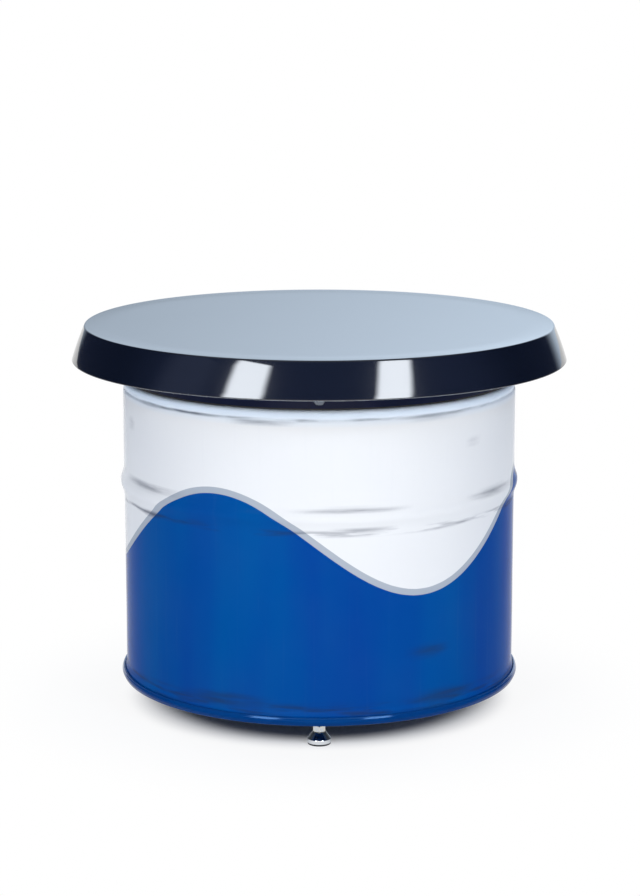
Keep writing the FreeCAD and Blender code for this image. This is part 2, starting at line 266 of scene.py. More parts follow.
def knocked(mesh):
    """Uneven rolling, knocks and the proud body weld at the back of the drum's wall. The hollows are marked, because
    painted shade is laid in them."""
    hollow = mesh.verts.layers.float.new("hollow")
    for vert in mesh.verts:
        height = vert.co.z / MM
        outward = Vector((vert.co.x, vert.co.y, 0)).normalized()
        if vert.co.dot(outward) < (WALL_RADIUS - CREASE_DEPTH - SHEET) * MM:
            continue
        free = min(1, max(0, min(height - EVEN_BELOW_Z, EVEN_ABOVE_Z - height) / EVEN_FADE))
        move = free * sum(tall * noise.noise(vert.co / (spacing * MM)) for spacing, tall in ROLLING)
        bearing = math.atan2(vert.co.x, -vert.co.y)
        if abs(math.remainder(bearing - BODY_WELD_BEARING, 2 * math.pi)) < math.pi / TURN_STEPS:
            move += BODY_WELD * free
        for knock_bearing, knock_height, depth, half_length, half_height in KNOCKS:
            aside = math.remainder(bearing - math.radians(knock_bearing), 2 * math.pi) * WALL_RADIUS
            inside = 1 - (aside / half_length) ** 2 - ((height - knock_height) / half_height) ** 2
            if inside > 0:
                move -= depth * inside ** 2
                vert[hollow] = max(vert[hollow], inside ** SHADE_FALL * min(1, half_length / FULL_SHADE_LENGTH))
        vert.co += outward * move * MM
    return mesh


def rolled_seam():
    """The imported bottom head, with a bead turned over its seam. The bead bulges from the flat band between the seam's
    rounded edges, and its inner face lies in the middle of the sheet."""
    low = SEAM_BOTTOM_Z + SEAM_BOTTOM_ROUNDING
    high = SEAM_TOP_Z - SEAM_TOP_ROUNDING
    ring = []
    for cover in (SEAM_COVER, -SHEET / 2):
        face = [(SEAM_RADIUS - SEAM_TOP_ROUNDING, SEAM_TOP_Z + cover, 0),
                (SEAM_RADIUS + cover, SEAM_TOP_Z + cover, SEAM_TOP_ROUNDING + cover),
                (SEAM_RADIUS + cover, SEAM_BOTTOM_Z - cover, SEAM_BOTTOM_ROUNDING + cover),
                (SEAM_RADIUS - SEAM_BOTTOM_ROUNDING, SEAM_BOTTOM_Z - cover, 0)]
        ring += face if cover > 0 else face[::-1]
    mesh = divided(wire(ring + ring[:1]), SEAM_STEP)
    for vert in mesh.verts:
        across = (2 * vert.co.z / MM - low - high) / (high - low)
        if vert.co.x > SEAM_RADIUS * MM and abs(across) < 1:
            vert.co.x += SEAM_BULGE * MM * (1 - across ** 2)
    turned(mesh)
    mesh.from_mesh(nodes["bottom_head"].data)
    bmesh.ops.remove_doubles(mesh, verts=mesh.verts, dist=WELD)
    for face in mesh.faces:
        face.material_index = 0
    bmesh.ops.recalc_face_normals(mesh, faces=mesh.faces)
    return mesh


def threaded_stud():
    """A foot's stud: one tooth of a rolled thread spun up with its pitch, cut square, with a round flange below."""
    root = STUD_RADIUS - THREAD_DEPTH
    start_z = FLANGE_TOP_Z - SPARE_TURNS * THREAD_PITCH
    turns = math.ceil((STUD_TOP_Z - FLANGE_TOP_Z) / THREAD_PITCH) + SPARE_TURNS
    mesh = bmesh.new()
    points = [mesh.verts.new(Vector((root + out * THREAD_DEPTH, 0, start_z + rise * THREAD_PITCH)) * MM)
              for out, rise in THREAD_TOOTH]
    edges = [mesh.edges.new(pair) for pair in zip(points, points[1:])]
    bmesh.ops.spin(mesh, geom=points + edges, cent=(0, 0, 0), axis=(0, 0, 1),
                   dvec=(0, 0, THREAD_PITCH * MM / THREAD_STEPS), angle=2 * math.pi * turns,
                   steps=turns * THREAD_STEPS, use_merge=False)
    bmesh.ops.remove_doubles(mesh, verts=mesh.verts, dist=THREAD_WELD)
    for cut_z, away in ((FLANGE_TOP_Z, -1), (STUD_TOP_Z, 1)):
        bmesh.ops.bisect_plane(mesh, geom=mesh.verts[:] + mesh.edges[:] + mesh.faces[:], dist=WELD,
                               plane_co=(0, 0, cut_z * MM), plane_no=(0, 0, away), clear_outer=True)
    for vert in mesh.verts:
        widest = STUD_RADIUS - max(0, vert.co.z / MM - STUD_TOP_Z + STUD_CHAMFER)
        radius = vert.co.to_2d().length / MM
        if radius > widest:
            vert.co.xy *= widest / radius
    bmesh.ops.holes_fill(mesh, edges=mesh.edges, sides=0)
    bmesh.ops.recalc_face_normals(mesh, faces=mesh.faces)
    flange = turned(wire([(0, FLANGE_BOTTOM_Z, 0), (FLANGE_RADIUS, FLANGE_BOTTOM_Z, FLANGE_ROUNDING),
                          (FLANGE_RADIUS, FLANGE_TOP_Z, FLANGE_ROUNDING), (0, FLANGE_TOP_Z, 0)]), FLANGE_STEPS)
    flange_mesh = bpy.data.meshes.new("flange")
    flange.to_mesh(flange_mesh)
    flange.free()
    mesh.from_mesh(flange_mesh)
    bpy.data.meshes.remove(flange_mesh)
    return mesh


def eased(node, width):
    """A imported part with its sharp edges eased, as a real one's are. The eased strips take the second finish."""
    mesh = bmesh.new()
    mesh.from_mesh(nodes[node].data)
    for face in mesh.faces:
        face.material_index = 0
    bmesh.ops.remove_doubles(mesh, verts=mesh.verts, dist=WELD)
    bmesh.ops.dissolve_limit(mesh, angle_limit=FLAT_ANGLE, verts=mesh.verts, edges=mesh.edges)
    sharp = [edge for edge in mesh.edges if edge.is_manifold and edge.calc_face_angle() > SHARP_ANGLE]
    strips = bmesh.ops.bevel(mesh, geom=sharp, offset=width * MM, offset_type="OFFSET", segments=2, profile=0.5,
                             affect="EDGES", material=-1, clamp_overlap=True)
    for face in strips["faces"]:
        face.material_index = 1
    return mesh


def piece(name, mesh, body, materials, replaced):
    """A finished piece: its mesh at its place, smooth, with its materials, riding on its body."""
    data = bpy.data.meshes.new(name)
    mesh.to_mesh(data)
    mesh.free()
    data.shade_smooth()
    data.materials.clear()
    for material in materials:
        data.materials.append(material)
    obj = bpy.data.objects.new(name, data)
    bpy.context.scene.collection.objects.link(obj)
    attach(obj, body)
    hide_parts(*replaced)
    return obj


# Materials

def linear(code):
    """An sRGB hex colour as linear RGBA."""
    channels = [int(code[i:i + 2], 16) / 255 for i in (1, 3, 5)]
    return [c / 12.92 if c <= 0.04045 else ((c + 0.055) / 1.055) ** 2.4 for c in channels] + [1.0]


def live(sockets, key):
    """A node's socket by name or number, counting only those that its settings leave in use."""
    used = [socket for socket in sockets if socket.enabled]
    return used[key] if isinstance(key, int) else next(socket for socket in used if socket.name == key)


def feed(tree, node, inputs):
    """Sets a node's inputs: plain values, sockets, or nodes that give their first output. Numbered inputs are the
    values of a Math node in order, and for Map Range the value, the range it is in and the range it is mapped to."""
    for key, value in inputs.items():
        socket = live(node.inputs, key)
        if isinstance(value, bpy.types.Node):
            value = live(value.outputs, 0)
        if isinstance(value, bpy.types.NodeSocket):
            tree.links.new(value, socket)
        else:
            socket.default_value = value


def add(tree, kind, inputs=None, **settings):
    """Adds a node with its settings and inputs."""
    node = tree.nodes.new(kind)
    for name, value in settings.items():
        setattr(node, name, value)
    feed(tree, node, inputs or {})
    return node


def new_material(name):
    """A material, its node tree, its shader and its object coordinates."""
    material = bpy.data.materials.new(name)
    material.use_nodes = True
    tree = material.node_tree
    place = add(tree, "ShaderNodeTexCoord").outputs["Object"]
    return material, tree, tree.nodes["Principled BSDF"], place


def two_tone_enamel():
    """Gloss enamel sprayed on rolled steel, white over blue with a silver line: deep colour with a little orange
    peel, painted shade in the dents, the crease, under the hoop and above the chime, painted cool light towards the
    rim, faint rain streaks and a few chips on the proud edges."""
    material, tree, shader, place = new_material("two_tone_gloss_enamel")
    x, y, z = add(tree, "ShaderNodeSeparateXYZ", {0: place}).outputs
    forward = add(tree, "ShaderNodeMath", {0: y, 1: -1.0}, operation="MULTIPLY")
    angle = add(tree, "ShaderNodeMath", {0: x, 1: forward}, operation="ARCTAN2")
    around = add(tree, "ShaderNodeMath", {0: angle, 1: WALL_RADIUS * MM}, operation="MULTIPLY")
    unrolled = add(tree, "ShaderNodeCombineXYZ", {"X": around, "Y": z})

    # The paint line: distance above a wave that runs round the drum, measured square to the line
    phase = add(tree, "ShaderNodeMath", {0: angle, 1: WAVE_COUNT}, operation="MULTIPLY")
    rise = add(tree, "ShaderNodeMath", {0: phase}, operation="SINE")
    line_z = add(tree, "ShaderNodeMath", {0: rise, 1: -WAVE_HEIGHT * MM, 2: WAVE_MIDDLE_Z * MM},
                 operation="MULTIPLY_ADD")
    run = add(tree, "ShaderNodeMath", {0: phase}, operation="COSINE")
    slope = add(tree, "ShaderNodeMath", {0: run, 1: WAVE_COUNT * WAVE_HEIGHT / WALL_RADIUS}, operation="MULTIPLY")
    stretch = add(tree, "ShaderNodeMath", {0: slope, 1: slope, 2: 1.0}, operation="MULTIPLY_ADD")
    stretch = add(tree, "ShaderNodeMath", {0: stretch}, operation="SQRT")
    above = add(tree, "ShaderNodeMath", {0: z, 1: line_z}, operation="SUBTRACT")
    above = add(tree, "ShaderNodeMath", {0: above, 1: stretch}, operation="DIVIDE")
    tape = add(tree, "ShaderNodeTexNoise", {"Vector": unrolled, "Scale": 1 / (14 * MM), "Detail": 2.0})
    above = add(tree, "ShaderNodeMath", {0: tape, 1: TAPE_WOBBLE * MM, 2: above}, operation="MULTIPLY_ADD")
    over_blue = add(tree, "ShaderNodeMapRange", {0: above, 1: 0.0, 2: PAINT_EDGE * MM})
    over_stripe = add(tree, "ShaderNodeMapRange", {0: above, 1: STRIPE_WIDTH * MM,
                                                   2: (STRIPE_WIDTH + PAINT_EDGE) * MM})

    # Upright passes of the spray gun, about 120 mm apart, leave the blue a little uneven
    passes = add(tree, "ShaderNodeMapping", {"Vector": unrolled, "Scale": (1 / (120 * MM), 1 / (900 * MM), 1.0)})
    passes = add(tree, "ShaderNodeTexNoise", {"Vector": passes, "Scale": 1.0, "Detail": 2.0})
    tone = add(tree, "ShaderNodeMapRange", {0: passes, 1: 0.35, 2: 0.65})
    blue = add(tree, "ShaderNodeMix", {"Factor": tone, "A": linear("#043f8d"), "B": linear("#004d92")},
               data_type="RGBA")
    colour = add(tree, "ShaderNodeMix", {"Factor": over_blue, "A": blue, "B": linear("#a8afb6")}, data_type="RGBA")

    # Painted light: the white turns a little cooler towards the rim, standing in for cool light falling on the curl
    cool_light = add(tree, "ShaderNodeMapRange", {0: z, 1: COOL_LIGHT_Z * MM, 2: (RIM_Z - CURL_RADIUS) * MM})
    white = add(tree, "ShaderNodeMix", {"Factor": cool_light, "A": linear("#e3e4e2"), "B": linear("#e2f0fb")},
                data_type="RGBA")
    colour = add(tree, "ShaderNodeMix", {"Factor": over_stripe, "A": colour, "B": white}, data_type="RGBA")

    # Dull film from hands and weather, and thin upright rain streaks
    mottle = add(tree, "ShaderNodeTexNoise", {"Vector": unrolled, "Scale": 1 / (110 * MM), "Detail": 4.0})
    film = add(tree, "ShaderNodeMapRange", {0: mottle, 1: 0.4, 2: 0.8, 3: 0.0, 4: 0.012})
    rain = add(tree, "ShaderNodeMapping", {"Vector": unrolled, "Scale": (1 / (8 * MM), 1 / (260 * MM), 1.0)})
    rain = add(tree, "ShaderNodeTexNoise", {"Vector": rain, "Scale": 1.0, "Detail": 3.0})
    rain = add(tree, "ShaderNodeMapRange", {0: rain, 1: 0.58, 2: 0.78, 3: 0.0, 4: 0.016})
    film = add(tree, "ShaderNodeMath", {0: film, 1: rain}, operation="ADD")
    colour = add(tree, "ShaderNodeMix", {"Factor": film, "A": colour, "B": linear("#8c98ab")}, data_type="RGBA")

    # Painted shade in the crease, under the hoop and above the chime, in long thin lenses, and in every hollow: dark
    # navy that stands in for the shade and dark reflections there, and that dulls the gloss like grime
    line_shade = 0.0
    for height, reach in SHADE_LINES:
        gap = add(tree, "ShaderNodeMath", {0: z, 1: height * MM}, operation="SUBTRACT")
        gap = add(tree, "ShaderNodeMath", {0: gap}, operation="ABSOLUTE")
        near = add(tree, "ShaderNodeMapRange", {0: gap, 1: 0.0, 2: reach * MM, 3: 1.0, 4: 0.0},
                   interpolation_type="SMOOTHSTEP")
        line_shade = add(tree, "ShaderNodeMath", {0: line_shade, 1: near}, operation="MAXIMUM")
    lenses = add(tree, "ShaderNodeMapping", {"Vector": unrolled, "Scale": (1 / (80 * MM), 1 / (9 * MM), 1.0)})
    lenses = add(tree, "ShaderNodeTexNoise", {"Vector": lenses, "Scale": 1.0, "Detail": 3.0})
    lens = add(tree, "ShaderNodeMapRange", {0: lenses, 1: 0.45, 2: 0.68, 3: 0.0, 4: 0.75})
    line_shade = add(tree, "ShaderNodeMath", {0: line_shade, 1: lens}, operation="MULTIPLY")
    hollow = add(tree, "ShaderNodeAttribute", attribute_name="hollow").outputs["Fac"]
    hollow_shade = add(tree, "ShaderNodeMapRange", {0: lenses, 1: 0.3, 2: 0.68, 3: 0.2, 4: 0.85})
    hollow_shade = add(tree, "ShaderNodeMath", {0: hollow, 1: hollow_shade}, operation="MULTIPLY")
    grime_and_shade = add(tree, "ShaderNodeMath", {0: line_shade, 1: hollow_shade}, operation="MAXIMUM")
    # Painted shade: dark navy laid into the crease, under the hoop, above the chime and in the dents
    colour = add(tree, "ShaderNodeMix", {"Factor": grime_and_shade, "A": colour, "B": linear("#22304a")}, data_type="RGBA")

    # Chips down to the grey primer, 1 to 3 mm across, on the hoop's crown, the chime and the curl
    crown = add(tree, "ShaderNodeMath", {0: z, 1: HOOP_Z * MM}, operation="SUBTRACT")
    crown = add(tree, "ShaderNodeMath", {0: crown}, operation="ABSOLUTE")
    proud = add(tree, "ShaderNodeMath", {0: crown, 1: CHIPPED_CROWN * MM}, operation="LESS_THAN")
    low = add(tree, "ShaderNodeMath", {0: z, 1: FLARE_Z * MM}, operation="LESS_THAN")
    proud = add(tree, "ShaderNodeMath", {0: proud, 1: low}, operation="MAXIMUM")
    high = add(tree, "ShaderNodeMath", {0: z, 1: (RIM_Z - CURL_RADIUS) * MM}, operation="GREATER_THAN")
    proud = add(tree, "ShaderNodeMath", {0: proud, 1: high}, operation="MAXIMUM")
    cells = add(tree, "ShaderNodeTexVoronoi", {"Vector": place, "Scale": 1 / (15 * MM)})
    pick = add(tree, "ShaderNodeSeparateXYZ", {0: cells.outputs["Color"]})
    size = add(tree, "ShaderNodeMapRange", {0: pick, 1: 0.72, 2: 1.0, 3: 0.0, 4: 0.11})
    ragged = add(tree, "ShaderNodeTexNoise", {"Vector": place, "Scale": 1 / (1.5 * MM), "Detail": 2.0})
    reach = add(tree, "ShaderNodeMath", {0: ragged, 1: 0.06, 2: cells.outputs["Distance"]},
                operation="MULTIPLY_ADD")
    chip = add(tree, "ShaderNodeMath", {0: reach, 1: size}, operation="LESS_THAN")
    chip = add(tree, "ShaderNodeMath", {0: chip, 1: proud}, operation="MULTIPLY")
    colour = add(tree, "ShaderNodeMix", {"Factor": chip, "A": colour, "B": linear("#6c7074")}, data_type="RGBA")

    # The body's welded seam runs up the back under the paint
    back = add(tree, "ShaderNodeMath", {0: angle}, operation="ABSOLUTE")
    back = add(tree, "ShaderNodeMath", {0: back, 1: -WALL_RADIUS * MM, 2: math.pi * WALL_RADIUS * MM},
               operation="MULTIPLY_ADD")
    seam = add(tree, "ShaderNodeMapRange", {0: back, 1: BODY_WELD_CROWN * MM, 2: BODY_WELD_EDGE * MM, 3: 1.0, 4: 0.0},
               interpolation_type="SMOOTHSTEP")
    seam = add(tree, "ShaderNodeBump", {"Height": seam, "Strength": 0.7, "Distance": 0.6 * MM})

    peel = add(tree, "ShaderNodeTexNoise", {"Vector": place, "Scale": 1 / (3 * MM), "Detail": 1.0})
    peel = add(tree, "ShaderNodeMath", {0: chip, 1: -3.0, 2: peel}, operation="MULTIPLY_ADD")
    bump = add(tree, "ShaderNodeBump", {"Height": peel, "Strength": 0.06, "Distance": 0.1 * MM, "Normal": seam})
    gloss = add(tree, "ShaderNodeMapRange", {0: mottle, 1: 0.3, 2: 0.8, 3: 0.08, 4: 0.18})
    # The painted shade also dulls the gloss, as grime would
    gloss = add(tree, "ShaderNodeMath", {0: grime_and_shade, 1: 0.3, 2: gloss}, operation="MULTIPLY_ADD")
    gloss = add(tree, "ShaderNodeMath", {0: chip, 1: 0.4, 2: gloss}, operation="MULTIPLY_ADD")
    feed(tree, shader, {"Base Color": colour, "Roughness": gloss, "IOR": 1.5, "Specular IOR Level": 0.01,
                        "Normal": bump})
    return material


def drum_lining():
    """Grey lacquer baked inside the drum: satin, slightly mottled, with a few runs."""
    material, tree, shader, place = new_material("baked_grey_lacquer")
    mottle = add(tree, "ShaderNodeTexNoise", {"Vector": place, "Scale": 1 / (40 * MM), "Detail": 5.0})
    colour = add(tree, "ShaderNodeMix", {"Factor": mottle, "A": linear("#7f807a"), "B": linear("#a09f97")},
                 data_type="RGBA")
    runs = add(tree, "ShaderNodeMapping", {"Vector": place, "Scale": (1 / (9 * MM), 1 / (9 * MM), 1 / (140 * MM))})
    runs = add(tree, "ShaderNodeTexNoise", {"Vector": runs, "Scale": 1.0, "Detail": 2.0})
    bump = add(tree, "ShaderNodeBump", {"Height": runs, "Strength": 0.3, "Distance": 0.3 * MM})
    gloss = add(tree, "ShaderNodeMapRange", {0: mottle, 1: 0.3, 2: 0.7, 3: 0.32, 4: 0.5})
    feed(tree, shader, {"Base Color": colour, "Roughness": gloss, "IOR": 1.5, "Normal": bump})
    return material


def head_paint():
    """The drum's bottom head: blue enamel on its seam, glossy above and dull below, that thins out over near-black
    primer underneath, which is painted shade for the shade under the drum, and the same grey lacquer inside."""
    material, tree, shader, place = new_material("head_enamel_and_lacquer")
    x, y, height = add(tree, "ShaderNodeSeparateXYZ", {0: place}).outputs
    inside = add(tree, "ShaderNodeMath", {0: height, 1: (HEAD_TOP_Z - 0.3) * MM}, operation="GREATER_THAN")
    mottle = add(tree, "ShaderNodeTexNoise", {"Vector": place, "Scale": 1 / (60 * MM), "Detail": 5.0})
    blue = add(tree, "ShaderNodeMix", {"Factor": mottle, "A": linear("#03326f"), "B": linear("#013e7a")},
               data_type="RGBA")
    flat = add(tree, "ShaderNodeCombineXYZ", {"X": x, "Y": y})
    radius = add(tree, "ShaderNodeVectorMath", {0: flat}, operation="LENGTH").outputs["Value"]
    spray = add(tree, "ShaderNodeMath", {0: mottle, 1: SPRAY_WANDER * MM, 2: radius}, operation="MULTIPLY_ADD")
    spray = add(tree, "ShaderNodeMapRange", {0: spray, 1: SPRAY_START * MM, 2: SPRAY_FULL * MM})
    # Painted shade: the near-black under the head stands in for the shade beneath the drum
    outside_blue_and_shade = add(tree, "ShaderNodeMix", {"Factor": spray, "A": linear("#1c1e22"), "B": blue}, data_type="RGBA")
    grey = add(tree, "ShaderNodeMix", {"Factor": mottle, "A": linear("#7f807a"), "B": linear("#a09f97")},
               data_type="RGBA")
    colour = add(tree, "ShaderNodeMix", {"Factor": inside, "A": outside_blue_and_shade, "B": grey}, data_type="RGBA")
    dust = add(tree, "ShaderNodeMapRange", {0: mottle, 1: 0.5, 2: 0.8, 3: 0.0, 4: 0.3})
    dust = add(tree, "ShaderNodeMath", {0: dust, 1: inside}, operation="MULTIPLY")
    colour = add(tree, "ShaderNodeMix", {"Factor": dust, "A": colour, "B": linear("#8d8a80")}, data_type="RGBA")
    peel = add(tree, "ShaderNodeTexNoise", {"Vector": place, "Scale": 1 / (3 * MM), "Detail": 1.0})
    bump = add(tree, "ShaderNodeBump", {"Height": peel, "Strength": 0.06, "Distance": 0.1 * MM})
    gloss = add(tree, "ShaderNodeMapRange", {0: inside, 1: 0.0, 2: 1.0, 3: 0.07, 4: 0.42})
    shine = add(tree, "ShaderNodeMapRange", {0: height, 1: DULL_BELOW_Z * MM, 2: GLOSSY_ABOVE_Z * MM, 3: 0.06, 4: 0.5})
    feed(tree, shader, {"Base Color": colour, "Roughness": gloss, "IOR": 1.5, "Specular IOR Level": shine,
                        "Specular Tint": linear("#8ac4ff"), "Normal": bump})
    return material


def black_gloss_moulding():
    """Black moulded acrylic polished to a mirror: deep blue-black, faint wiping marks, a very slight wave and a
    thin haze round the brightest reflections."""
    material, tree, shader, place = new_material("black_polished_acrylic")
    smear = add(tree, "ShaderNodeTexNoise", {"Vector": place, "Scale": 1 / (90 * MM), "Detail": 7.0,
                                             "Distortion": 1.5})
    gloss = add(tree, "ShaderNodeMapRange", {0: smear, 1: 0.35, 2: 0.75, 3: 0.025, 4: 0.07})
    # Dust specks are about 0.3 mm; drawn 0.6 mm so that they show
    specks = add(tree, "ShaderNodeTexVoronoi", {"Vector": place, "Scale": 1 / (9 * MM)})
    speck = add(tree, "ShaderNodeMapRange", {0: specks, 1: 0.02, 2: 0.04, 3: 0.12, 4: 0.0})
    colour = add(tree, "ShaderNodeMix", {"Factor": speck, "A": linear("#070d19"), "B": linear("#8e949d")},
                 data_type="RGBA")
    wave = add(tree, "ShaderNodeTexNoise", {"Vector": place, "Scale": 1 / (130 * MM), "Detail": 1.0})
    bump = add(tree, "ShaderNodeBump", {"Height": wave, "Strength": 1.0, "Distance": 0.08 * MM})
    feed(tree, shader, {"Base Color": colour, "Roughness": gloss, "IOR": 1.75, "Coat Weight": 0.15,
                        "Coat Roughness": 0.24, "Normal": bump})
    return material


def film_faced_plywood():
    """Plywood faced with dark brown resin film, with the fine mesh that its press leaves; light and dark plies show
    along the bare edge."""
    material, tree, shader, place = new_material("film_faced_plywood")
    x, y, height = add(tree, "ShaderNodeSeparateXYZ", {0: place}).outputs
    cloud = add(tree, "ShaderNodeTexNoise", {"Vector": place, "Scale": 1 / (70 * MM), "Detail": 6.0})
    film = add(tree, "ShaderNodeMix", {"Factor": cloud, "A": linear("#140f0c"), "B": linear("#231b16")},
               data_type="RGBA")
    long_grain = add(tree, "ShaderNodeMapping", {"Vector": place, "Scale": (1 / (260 * MM), 1 / (5 * MM), 1.0)})
    grain = add(tree, "ShaderNodeTexNoise", {"Vector": long_grain, "Scale": 1.0, "Detail": 6.0, "Distortion": 0.4})
    wood = add(tree, "ShaderNodeMix", {"Factor": grain, "A": linear("#7a6145"), "B": linear("#9d8260")},
               data_type="RGBA")
    layer = add(tree, "ShaderNodeMath", {0: height, 1: -BOARD_BOTTOM_Z * MM}, operation="ADD")
    layer = add(tree, "ShaderNodeMath", {0: layer, 1: 1 / (2 * PLY * MM)}, operation="MULTIPLY")
    layer = add(tree, "ShaderNodeMath", {0: layer}, operation="FRACT")
    cross = add(tree, "ShaderNodeMapRange", {0: layer, 1: 0.48, 2: 0.52, 3: 0.0, 4: 0.6})
    wood = add(tree, "ShaderNodeMix", {"Factor": cross, "A": wood, "B": linear("#5f4328")}, data_type="RGBA")
    level = add(tree, "ShaderNodeMath", {0: height, 1: (BOARD_TOP_Z + BOARD_BOTTOM_Z) / 2 * MM},
                operation="SUBTRACT")
    level = add(tree, "ShaderNodeMath", {0: level}, operation="ABSOLUTE")
    faced = add(tree, "ShaderNodeMath", {0: level, 1: (BOARD_TOP_Z - BOARD_BOTTOM_Z - FILM) / 2 * MM},
                operation="GREATER_THAN")
    colour = add(tree, "ShaderNodeMix", {"Factor": faced, "A": wood, "B": film}, data_type="RGBA")
    # The press mesh is about 1.5 mm; drawn 3 mm so that it shows
    pressed = 1.0
    for along in (x, y):
        wires = add(tree, "ShaderNodeMath", {0: along, 1: 2 * math.pi / (3 * MM)}, operation="MULTIPLY")
        wires = add(tree, "ShaderNodeMath", {0: wires}, operation="SINE")
        pressed = add(tree, "ShaderNodeMath", {0: pressed, 1: wires}, operation="MULTIPLY")
    rough = add(tree, "ShaderNodeMix", {"Factor": faced, "A": grain, "B": pressed})
    bump = add(tree, "ShaderNodeBump", {"Height": rough, "Strength": 0.25, "Distance": 0.15 * MM})
    gloss = add(tree, "ShaderNodeMapRange", {0: faced, 1: 0.0, 2: 1.0, 3: 0.65, 4: 0.42})
    feed(tree, shader, {"Base Color": colour, "Roughness": gloss, "IOR": 1.5, "Normal": bump})
    return material


def powder_coat():
    """Satin black powder coat on flat bar: pebbled and even. Its 0.5 mm texture is drawn 1.2 mm so that it shows."""
    material, tree, shader, place = new_material("black_powder_coat")
    pebble = add(tree, "ShaderNodeTexNoise", {"Vector": place, "Scale": 1 / (1.2 * MM), "Detail": 2.0})
    rubbed = add(tree, "ShaderNodeTexNoise", {"Vector": place, "Scale": 1 / (35 * MM), "Detail": 4.0})
    colour = add(tree, "ShaderNodeMix", {"Factor": rubbed, "A": linear("#131417"), "B": linear("#202226")},
                 data_type="RGBA")
    gloss = add(tree, "ShaderNodeMapRange", {0: rubbed, 1: 0.3, 2: 0.7, 3: 0.38, 4: 0.55})
    bump = add(tree, "ShaderNodeBump", {"Height": pebble, "Strength": 0.35, "Distance": 0.12 * MM})
    feed(tree, shader, {"Base Color": colour, "Roughness": gloss, "IOR": 1.5, "Normal": bump})
    return material


def stove_enamel():
    """Black stove enamel on a rolled strip: blue-black and glossy, with a little orange peel."""
    material, tree, shader, place = new_material("black_stove_enamel")
    patch = add(tree, "ShaderNodeTexNoise", {"Vector": place, "Scale": 1 / (45 * MM), "Detail": 4.0})
    colour = add(tree, "ShaderNodeMix", {"Factor": patch, "A": linear("#060d28"), "B": linear("#0a1738")},
                 data_type="RGBA")
    peel = add(tree, "ShaderNodeTexNoise", {"Vector": place, "Scale": 1 / (4 * MM), "Detail": 1.0})
    bump = add(tree, "ShaderNodeBump", {"Height": peel, "Strength": 0.08, "Distance": 0.1 * MM})
    gloss = add(tree, "ShaderNodeMapRange", {0: patch, 1: 0.3, 2: 0.7, 3: 0.1, 4: 0.22})
    feed(tree, shader, {"Base Color": colour, "Roughness": gloss, "IOR": 1.5, "Specular IOR Level": 0.08,
                        "Normal": bump})
    return material


def black_oxide():
    """Blackened steel of the bolts: dark, slightly oily metal."""
    material, tree, shader, place = new_material("black_oxide_steel")
    patch = add(tree, "ShaderNodeTexNoise", {"Vector": place, "Scale": 1 / (4 * MM), "Detail": 4.0})
    colour = add(tree, "ShaderNodeMix", {"Factor": patch, "A": linear("#3a4049"), "B": linear("#565d68")},
                 data_type="RGBA")
    gloss = add(tree, "ShaderNodeMapRange", {0: patch, 1: 0.3, 2: 0.7, 3: 0.2, 4: 0.38})
    feed(tree, shader, {"Base Color": colour, "Metallic": 1.0, "Roughness": gloss})
    return material


def rubbed_steel():
    """Edges of the bolts where tools have rubbed through to bright steel."""
    material, tree, shader, place = new_material("rubbed_bright_steel")
    patch = add(tree, "ShaderNodeTexNoise", {"Vector": place, "Scale": 1 / (2.5 * MM), "Detail": 3.0})
    colour = add(tree, "ShaderNodeMix", {"Factor": patch, "A": linear("#9ba1a9"), "B": linear("#d3d7dc")},
                 data_type="RGBA")
    gloss = add(tree, "ShaderNodeMapRange", {0: patch, 1: 0.3, 2: 0.7, 3: 0.12, 4: 0.28})
    feed(tree, shader, {"Base Color": colour, "Metallic": 1.0, "Roughness": gloss})
    return material


def moulded_rubber():
    """Moulded black rubber: matt, finely pebbled, a little dusty."""
    material, tree, shader, place = new_material("black_rubber")
    pebble = add(tree, "ShaderNodeTexNoise", {"Vector": place, "Scale": 1 / (0.9 * MM), "Detail": 2.0})
    dust = add(tree, "ShaderNodeTexNoise", {"Vector": place, "Scale": 1 / (12 * MM), "Detail": 5.0})
    dust = add(tree, "ShaderNodeMapRange", {0: dust, 1: 0.4, 2: 0.8, 3: 0.0, 4: 0.3})
    colour = add(tree, "ShaderNodeMix", {"Factor": dust, "A": linear("#0d1017"), "B": linear("#3c4048")},
                 data_type="RGBA")
    bump = add(tree, "ShaderNodeBump", {"Height": pebble, "Strength": 0.4, "Distance": 0.1 * MM})
    gloss = add(tree, "ShaderNodeMapRange", {0: dust, 1: 0.0, 2: 0.3, 3: 0.6, 4: 0.85})
    feed(tree, shader, {"Base Color": colour, "Roughness": gloss, "IOR": 1.5, "Normal": bump})
    return material


def zinc_plate():
    """Bright zinc plate on steel hardware: silvery with a faint blue and straw bloom and dull patches."""
    material, tree, shader, place = new_material("bright_zinc_plate")
    bloom = add(tree, "ShaderNodeTexNoise", {"Vector": place, "Scale": 1 / (7 * MM), "Detail": 4.0})
    tint = add(tree, "ShaderNodeMapRange", {0: bloom, 1: 0.35, 2: 0.65})
    colour = add(tree, "ShaderNodeMix", {"Factor": tint, "A": linear("#bcc8d8"), "B": linear("#d6d3c8")},
                 data_type="RGBA")
    grain = add(tree, "ShaderNodeTexNoise", {"Vector": place, "Scale": 1 / (1.2 * MM), "Detail": 3.0})
    bump = add(tree, "ShaderNodeBump", {"Height": grain, "Strength": 0.12, "Distance": 0.08 * MM})
    gloss = add(tree, "ShaderNodeMapRange", {0: bloom, 1: 0.3, 2: 0.75, 3: 0.16, 4: 0.36})
    feed(tree, shader, {"Base Color": colour, "Metallic": 1.0, "Roughness": gloss, "Normal": bump})
    return material


